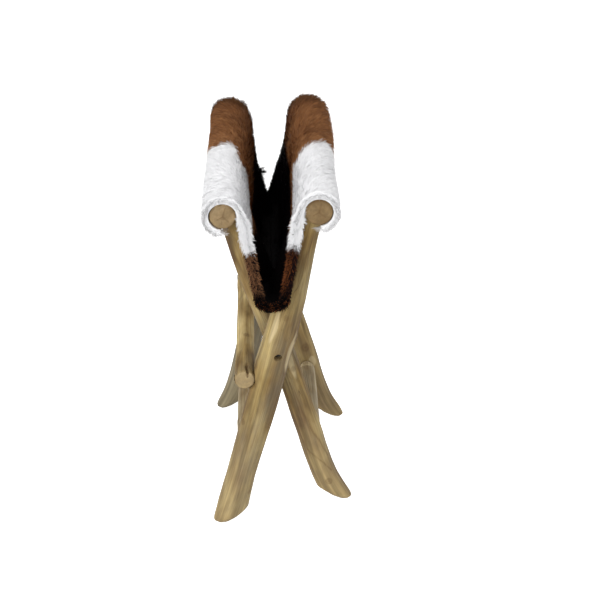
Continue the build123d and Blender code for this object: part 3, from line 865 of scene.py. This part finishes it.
def coat(side, q, y, chance, outer=0.0):
    """The colour of a hair that grows at a place; chance is a random number for each hair.

    Outer says how near the flesh side a hair starts that hangs out of a cut edge.
    """
    spots = on_hide(side, q, y, 40.0).reshape(-1, 3)
    broad = waves(spots, 38.0, 3).reshape(q.shape)
    fine = waves(spots, 9.0, 6).reshape(q.shape)
    spare = chance - 0.5
    at_front = smooth_step(-y, half_length - 9, half_length - 3)
    # the edge wanders by 7 mm, and each hair of its own by half of 9 mm
    whiteness = np.interp(q, *white_edge[side]) - y + fine * 7 + spare * 9
    fringe = at_front * smooth_step(white_drop[side] - q + spare * 14, -2, 4)
    white = np.maximum(smooth_step(whiteness, -1.5, 1.5), fringe)

    # brown with russet clouds, tan streaks, and more tan beside the white
    brown = mixed(brown_hair, russet_hair, 0.5 * smooth_step(broad, -0.1, 0.8))
    brown = mixed(brown, tan_hair, 0.5 * smooth_step(fine + chance * 0.8, 0.45, 1.1))
    brown = mixed(brown, tan_hair, 0.3 * smooth_step(whiteness, -60, -8))
    # painted shade where the coat curls down over the far end, with darker tufts on the left
    brown = mixed(brown, 0.0, far_end_shade_and_tufts[side] * smooth_step(y + broad * 14, 150, half_length))

    # black hair with painted shade that deepens down the fold, and a few russet hairs at its front edge
    black = mixed(black_hair_and_shade, 0.0, 0.6 * smooth_step(q, 50, 120))
    black = mixed(black, russet_hair, at_front * smooth_step(q, 112, 128) * (chance > 0.9))
    past_start = q - np.interp(y, *black_start[side]) + broad * 6 + spare * 8
    dark = mixed(brown, black, smooth_step(past_start, -9, 5))

    low_front = at_front * smooth_step(q, 20, 36) * (1 - smooth_step(q, 98, 122))
    darker = chance < 0.38 + 0.5 * (outer > 0.5) * (side == RIGHT)
    low_tone = np.where(darker[..., None], black_hair_and_shade * 2, low_tones[side])
    dark = mixed(dark, low_tone, low_front)
    shade, pale_shade = (0.82 + 0.36 * chance)[..., None], (0.96 + 0.06 * chance)[..., None]
    return np.clip(mixed(dark * shade, white_hair * pale_shade, white), 0, 1)

# %% [markdown]
# ## Hair and skin finishes
# Cow hair is a smooth fibre, but the locks cross each other, so the coat looks soft and nearly
# matt. The skin side is brushed suede, which has a faint bloom at a low angle. Both are plain
# shaders with a fine noise, because the colour of each lock already comes with the mesh.

# %% Hair
def cow_hair(name, stretch, strength):
    """Hair whose colour is stored on the mesh, with fine light and dark locks."""
    material, shader = blank_material(name)
    colour = add_node(material, "ShaderNodeAttribute", attribute_name="coat")
    place = add_node(material, "ShaderNodeAttribute", attribute_name="lay")
    way = add_node(material, "ShaderNodeMapping",
                   {"Vector": place.outputs["Vector"], "Scale": stretch})
    locks = add_node(material, "ShaderNodeTexNoise", {"Vector": way.outputs[0],
                     "Scale": 1.0, "Detail": 3.0, "Roughness": 0.6, "Distortion": 0.3})
    level = add_node(material, "ShaderNodeMapRange", {"Value": locks.outputs[0],
                     "From Min": 0.3, "From Max": 0.7, "To Min": 0.86, "To Max": 1.1})
    tinted = add_node(material, "ShaderNodeVectorMath", {0: colour.outputs["Color"],
                      "Scale": level.outputs[0]}, operation="SCALE")
    links = material.node_tree.links
    links.new(tinted.outputs[0], shader.inputs["Base Color"])
    bump = add_node(material, "ShaderNodeBump", {"Height": locks.outputs[0],
                    "Strength": strength, "Distance": 0.0012})
    links.new(bump.outputs[0], shader.inputs["Normal"])
    shader.inputs["Roughness"].default_value = 0.7
    shader.inputs["IOR"].default_value = 1.55
    shader.inputs["Specular IOR Level"].default_value = 0.05
    return material


# the lay coordinates are millimetres round and along the hide; a lock is about 1.5 mm wide
hair_base = cow_hair("cow_hair_undercoat", (0.12, 0.6, 1.0), 0.8)
hair_lock = cow_hair("cow_hair_locks", (0.10, 0.5, 1.0), 0.0)
print("2 hair finishes")

# %% Suede
suede, suede_shader = blank_material("suede_flesh_side")
suede_place = add_node(suede, "ShaderNodeAttribute", attribute_name="lay")
# a nap about 1 mm long, and clouds about 30 mm wide
nap = add_node(suede, "ShaderNodeTexNoise", {"Vector": suede_place.outputs["Vector"],
               "Scale": 0.9, "Detail": 6.0, "Roughness": 0.7})
cloudy = add_node(suede, "ShaderNodeTexNoise", {"Vector": suede_place.outputs["Vector"],
                  "Scale": 0.03, "Detail": 3.0})
both = add_node(suede, "ShaderNodeMath", {0: nap.outputs[0], 1: cloudy.outputs[0]},
                operation="MULTIPLY")
suede_tint = add_node(suede, "ShaderNodeValToRGB", {"Fac": both.outputs[0]},
                      stops=[(0.12, linear("#8b6f52")), (0.26, linear("#ae9373")),
                             (0.42, linear("#c3ab8c"))])
suede_bump = add_node(suede, "ShaderNodeBump", {"Height": nap.outputs[0], "Strength": 0.5,
                      "Distance": 0.0005})
suede_links = suede.node_tree.links
suede_links.new(suede_tint.outputs["Color"], suede_shader.inputs["Base Color"])
suede_links.new(suede_bump.outputs[0], suede_shader.inputs["Normal"])
suede_shader.inputs["Roughness"].default_value = 0.92
suede_shader.inputs["Sheen Weight"].default_value = 0.2
print("suede for the flesh side")

# %% [markdown]
# ## The hide itself
# Each half of the hide is two sheets, because it bends at two lines when the stool opens: at
# the rail, where it peels off the wood, and at the foot of the wall, where the seat levels
# out. A sheet is a thin closed shell: the skin below, the matted undercoat above, and a
# rounded edge. The two sheets meet on the flat of the wall, where both move alike.

# %% Undercoat
sheet_split = 62.0
bottom_end = wall_length + bottom_width
row_step, station_count = 2.0, 203


def edge_round(distance, width):
    """Rise of a rounded edge, from 0 at the edge to 1 at that distance from it."""
    share = np.clip(distance / width, 0, 1)
    return np.sqrt(1 - (1 - share) ** 2)


def undercoat_height(side, q, y, end_place):
    """How thick the matted undercoat is, as a share of the hair's height."""
    spots = on_hide(side, q * 1.2, y, 90.0).reshape(-1, 3)
    matted = waves(spots, 14.0, 12).reshape(q.shape)
    broad = waves(spots, 60.0, 15).reshape(q.shape)
    height = 0.70 + 0.05 * matted + 0.06 * broad
    round_front = edge_round(half_length - np.abs(y), 6.0)
    round_flap = edge_round(q - flap_place, 6.0)
    return 0.06 + height * round_front * round_flap - 0.06 * (q > end_place)

# %% [markdown]
# The right half ends in a thin tongue that laps under the left one at the middle of the
# seat. Hair folds over the cut edges, so only the flesh side within them is suede.

# %% Hide sheets
def shell_faces(tall, wide):
    """Faces of a closed shell over a grid: the top, the underside and the rim between."""
    index = np.arange(tall * wide).reshape(tall, wide)
    a, b = index[:-1, :-1].ravel(), index[1:, :-1].ravel()
    c, d = index[1:, 1:].ravel(), index[:-1, 1:].ravel()
    under = tall * wide
    rim = np.concatenate([index[0, :], index[1:, -1], index[-1, -2::-1], index[-2:0:-1, 0]])
    after = np.roll(rim, -1)
    return np.concatenate([np.stack([a, d, c, b], 1), np.stack([a, b, c, d], 1) + under,
                           np.stack([rim, rim + under, after + under, after], 1)])


def finish_shell(mesh, tall, wide, meeting_row):
    """Hair outside and suede inside, smooth but for the row where two sheets meet."""
    mesh.materials.append(hair_base)
    mesh.materials.append(suede)
    grid = (tall - 1) * (wide - 1)
    column = np.arange(grid) % (wide - 1)
    slots = np.zeros(len(mesh.polygons), np.int32)
    slots[grid:2 * grid] = (column >= 2) & (column <= wide - 4)
    mesh.polygons.foreach_set("material_index", slots)
    mesh.polygons.foreach_set("use_smooth", np.ones(len(slots), bool))
    ends = np.zeros(len(mesh.edges) * 2, np.int32)
    mesh.edges.foreach_get("vertices", ends)
    rows_of_ends = ends.reshape(-1, 2) % (tall * wide) // wide
    sharp = mesh.attributes.new("sharp_edge", "BOOLEAN", "EDGE")
    sharp.data.foreach_set("value", (rows_of_ends == meeting_row).all(1))
    mesh.update()


def hide_sheet(name, side, q_from, q_to, tongue=0.0):
    """One sheet of the hide between two places round it."""
    rows = np.linspace(q_from, q_to, int((q_to - q_from) / row_step) + 2)
    if tongue:
        rows = np.append(rows, [q_to + 0.5, q_to + tongue / 2, q_to + tongue])
    stations = np.linspace(-half_length, half_length, station_count)
    q, y = np.meshgrid(rows, stations, indexing="ij")
    lap = q > q_to + 0.1
    top_height = np.where(lap, -0.04, undercoat_height(side, q, y, bottom_end + 0.1))
    top = hide_point(side, q, y, top_height) * MM
    bottom = hide_point(side, q, y, np.where(lap, -0.16, 0.0)) * MM
    points = np.concatenate([top.reshape(-1, 3), bottom.reshape(-1, 3)])
    faces = shell_faces(*q.shape)
    if side == LEFT:
        faces = faces[:, ::-1]
    mesh = bpy.data.meshes.new(name)
    mesh.from_pydata(points.tolist(), [], faces.tolist())
    rng = np.random.default_rng(77 + side)
    tones = coat(side, q, y, rng.random(q.shape)).reshape(-1, 3)
    tones = np.concatenate([tones, np.ones((len(tones), 1))], 1)
    lay = on_hide(side, q, y, 55.0).reshape(-1, 3)
    store(mesh, "coat", "FLOAT_COLOR", np.concatenate([tones, tones]))
    store(mesh, "lay", "FLOAT_VECTOR", np.concatenate([lay, lay]))
    finish_shell(mesh, *q.shape, 0 if q_from == sheet_split else len(rows) - 1)
    piece = add_object(name, mesh)
    flat = ((q_to + tongue - q_from) * MM, 2 * half_length * MM)
    print(name, len(points), "points, flat", [round(v, 3) for v in flat])
    return piece, flat

# %% [markdown]
# ## The hair
# The hair that shows is laid lock by lock. A lock is a narrow ribbon that starts in the
# undercoat, runs along the lay of the coat and lifts a little at its tip. A hair system would
# be quicker to comb, but ribbons are plain mesh, so they bend with the hide in every pose.
# Along the cut edges the locks hang out over the edge, start anywhere in its thickness and
# spread to both sides.

# %% Where locks grow and how they lie
# lengths and places are in millimetres, heights in shares of the hair's depth
front_share = 0.75
lying_length, hanging_length = (8.5, 15.0), (6.0, 11.0)
wisp_place, wisp_half = 98.0, 2.5
wisp_longer, wisp_rise = 2.8, 1.8


def lock_roots(rng, q_from, q_to, count, edge_count):
    """Places and a chance number of the locks; the last ones hang out of the cut edges."""
    cut = np.arange(count + edge_count) >= count
    count = len(cut)
    q = rng.uniform(q_from, q_to, count)
    y = rng.uniform(-half_length + 0.5, half_length - 0.5, count)
    end = np.where(rng.random(count) < front_share, -1, 1)
    at_end = end * (half_length - rng.uniform(0, 4, count))
    return cut, q, np.where(cut, at_end, y), rng.random(count)


def lay_of(side, q, y):
    """The way the hair lies, as an angle from the way down the inner wall, in radians."""
    spots = on_hide(side, q, y, 140.0)
    swirl = waves(spots, 70.0, 31) * 0.9 + waves(spots, 18.0, 33) * 0.35
    return math.pi * 0.93 + swirl


def lying_locks(rng, side, q, y, tuft):
    """Steps round and along the hide, length, and the heights of root and tip."""
    count = len(q)
    front, rear = half_length + y, half_length - y
    edge_gap = np.minimum(front, rear)
    on_edge = 1 - smooth_step(edge_gap, 2.0, 9.0)
    on_flap = 1 - smooth_step(q - flap_place, 2.0, 9.0)
    angle = lay_of(side, q, y) + 0.45 * tuft + rng.normal(0, 0.16, count)
    step_q = np.cos(angle) * (1 - on_edge) - 0.9 * on_flap
    step_y = np.sin(angle) * (1 - on_edge) + np.where(front < rear, -1, 1) * on_edge
    step_q += on_edge * rng.normal(-0.1, 0.45, count)
    size = np.hypot(step_q, step_y) + 1e-9
    length = rng.uniform(*lying_length, count) * (1 - 0.25 * smooth_step(q, 4, 24))
    length *= 1 - 0.15 * on_edge
    root_height = rng.uniform(0.42, 0.66, count) * np.where(edge_gap < 3, 0.75, 1.0)
    tip_height = rng.uniform(0.86, 1.18, count) - 0.25 * on_edge - 0.1 * on_flap
    return step_q / size, step_y / size, length, root_height, tip_height


def in_wisp(side, q, y):
    """True in the one wisp that stands out of the far edge of the left wall."""
    return (y > 0) & (np.abs(q - wisp_place) < wisp_half) & (side == LEFT)


def hanging_locks(rng, side, q, y, tuft, out_step):
    """The same for locks out of a cut edge, and where in its thickness each one starts."""
    count = len(q)
    spread = rng.uniform(0.0, 1.0, count)
    splay = smooth_step(q, -12, 14) * (y < 0) * (1 - 0.45 * smooth_step(q, 45, 75))
    tip_height = (0.12 - 0.5 * splay) + (0.84 + 0.75 * splay) * spread
    tip_height += rng.normal(0, 0.08, count) + 0.12 * tuft
    near_wood = 0.4 + 0.6 * smooth_step(q, -12, 14)
    step_y = out_step * rng.uniform(0.2, 0.75, count) * near_wood
    step_q = rng.normal(0.35, 0.45, count) + 0.4 * tuft
    length = rng.uniform(*hanging_length, count) * (1 - 0.35 * smooth_step(q, 30, 60))
    wisp = in_wisp(side, q, y)
    length = np.where(wisp, length * wisp_longer, length)
    tip_height = np.where(wisp, tip_height + wisp_rise, tip_height)
    # the far edge of the left roll has longer tufts that stand up
    tufted = (y > 0) & (q < 10) & (side == LEFT)
    length = np.where(tufted, length * 1.5, length)
    tip_height = np.where(tufted, tip_height + 0.5 * np.clip(tuft, 0, 1), tip_height)
    return (step_q, step_y, length, 0.05 + 0.7 * spread, tip_height), spread

# %% [markdown]
# A ribbon has seven points: three pairs and a tip. It faces the way the coat does, so light
# falls on the locks as on one soft surface. Hair that hangs out of an edge faces away from
# the hide and up to the light. Dark locks are lighter towards the tip, but not at the far
# edge, where they stand dark against the white ground.

# %% Locks as ribbons
ribbon_shares = np.array([0.0, 0.4, 0.75, 1.0])
ribbon_places = np.array([0, 0.4, 0.75, 0, 0.4, 0.75, 1.0])
taper = np.array([1, 0.9, 0.6])[:, None, None]


def ribbon_points(rng, line, up_turned, cut, wisp):
    """Seven points for each lock, from four points along it and the way it faces."""
    run = np.gradient(line, axis=0)
    wide = np.cross(run, up_turned[None])
    wide /= np.linalg.norm(wide, axis=2, keepdims=True) + 1e-9
    width = rng.uniform(0.35, 0.62, len(cut)) * np.where(cut & ~wisp, 0.75, 1.0)
    width = np.where(wisp, width * 1.6, width)[None, :, None] * taper
    left_side = line[:3] - wide[:3] * width
    right_side = line[:3] + wide[:3] * width
    return np.concatenate([left_side, right_side, line[3:]]).transpose(1, 0, 2)


def ribbon_mesh(name, points):
    """A mesh of ribbons, each of two quads and a tip."""
    first = np.arange(len(points))[:, None] * 7
    quads = np.concatenate([first + [0, 3, 4, 1], first + [1, 4, 5, 2]])
    tips = first + [2, 5, 6]
    mesh = bpy.data.meshes.new(name)
    mesh.from_pydata((points.reshape(-1, 3) * MM).tolist(), [], quads.tolist() + tips.tolist())
    mesh.materials.append(hair_lock)
    mesh.polygons.foreach_set("use_smooth", np.ones(len(mesh.polygons), bool))
    return mesh


def lock_tones(side, q, y, chance, cut, spread):
    """Seven colours for each lock, from its root to its tip."""
    tones = coat(side, q, y, chance, np.where(cut, 1 - spread, 0.0))
    dark = tones.mean(1) < 0.35
    tip_lift = np.where(dark, np.where(cut, np.where(y < 0, 0.85, -0.3), 0.35), 0.05)
    tip_gain = tip_lift[:, None] * ribbon_places + np.where(dark, 0.85, 0.97)[:, None]
    shown = np.clip(tones[:, None, :] * tip_gain[..., None], 0, 1)
    return np.concatenate([shown, np.ones(tip_gain.shape + (1,))], 2)


def hair_locks(name, side, q_from, q_to, count, edge_count, seed):
    """Locks of hair over one sheet and out of its cut edges."""
    rng = np.random.default_rng(seed)
    cut, q, y, chance = lock_roots(rng, q_from, q_to, count, edge_count)
    tuft = waves(on_hide(side, q, y, 200.0), 7.0, 41)
    lying = lying_locks(rng, side, q, y, tuft)
    hanging, spread = hanging_locks(rng, side, q, y, tuft, lying[1])
    step_q, step_y, length, root_height, tip_height = np.where(cut, hanging, lying)
    bend = rng.normal(0, 1.0, len(q)) + 1.6 * tuft
    line = []
    for t in ribbon_shares:
        q_t = q + step_q * length * t - step_y * bend * t * t
        y_t = y + step_y * length * t + step_q * bend * t * t
        line.append(hide_point(side, q_t, y_t, root_height + (tip_height - root_height) * t))
    skin, top = hide_faces(side, q, y)
    up = (top - skin) / np.linalg.norm(top - skin, axis=1, keepdims=True)
    out_of_edge = np.stack([0 * y, np.where(y < 0, -0.7, 0.1), 0 * y + 0.7], 1)
    facing = np.where(cut[:, None], 0.25 * up + out_of_edge, up)
    lean = rng.normal(0, 0.25, (len(q), 3)) * np.where(cut, 0.5, 1.0)[:, None]
    wisp = cut & in_wisp(side, q, y)
    mesh = ribbon_mesh(name, ribbon_points(rng, np.stack(line), facing + lean, cut, wisp))
    store(mesh, "coat", "FLOAT_COLOR", lock_tones(side, q, y, chance, cut, spread))
    lay = np.stack([q, y, chance * 30], 1)[:, None, :]
    store(mesh, "lay", "FLOAT_VECTOR", lay + ribbon_places[:, None] * [0.0, 0.0, 0.4])
    mesh.update()
    soft = np.repeat((facing + 0.35 * lean)[:, None, :], len(ribbon_places), 1)
    soft /= np.linalg.norm(soft, axis=2, keepdims=True)
    mesh.normals_split_custom_set_from_vertices(soft.reshape(-1, 3).tolist())
    piece = add_object(name, mesh)
    print(name, len(q), "locks")
    return piece

# %% [markdown]
# ## Putting the hide on
# The upper sheet bends between the frame and the hanging wall, about the rail. The lower one
# bends between the wall and the level bottom. The hair of each sheet bends with it.

# %% Hide pieces
tongue_width = {RIGHT: 9.0, LEFT: 0.0}
halves = (
    ("right", RIGHT, "outer_frame", "right_hide", "right_hide_fold"),
    ("left", LEFT, "inner_frame", "left_hide", "left_hide_fold"),
)
for word, side, frame_body, wall_body, fold_body in halves:
    rail_x, rail_z = rail_places[side]
    fold_x, _, fold_z = joint_places[word + "_hide_bend"]
    upper, upper_flat = hide_sheet(word + "_hide_upper", side, flap_place, sheet_split)
    upper_hair = hair_locks(word + "_hair_upper", side, flap_place + 0.5, sheet_split, 26000,
                            6000, 101 + side)
    lower, lower_flat = hide_sheet(word + "_hide_lower", side, sheet_split, bottom_end,
                                   tongue=tongue_width[side])
    lower_hair = hair_locks(word + "_hair_lower", side, sheet_split, bottom_end, 12000,
                            5000, 201 + side)
    # each bend runs from a start, which stays with the first body, to an end on the second
    peel_start = (rail_x * MM, 0.0, rail_z * MM)
    peel_end = ((rail_x - side * 27.0) * MM, 0.0, (rail_z - 5.0) * MM)
    foot_start = (fold_x + side * 0.008, 0.0, fold_z + 0.022)
    foot_end = (fold_x - side * 0.012, 0.0, fold_z - 0.010)
    for piece in (upper, upper_hair):
        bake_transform(piece, frame_body, wall_body, peel_start, peel_end)
    for piece in (lower, lower_hair):
        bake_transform(piece, wall_body, fold_body, foot_start, foot_end)
    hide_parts(word + "_hide_roll", word + "_hide_wall")
    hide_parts(word + "_hide_bottom")
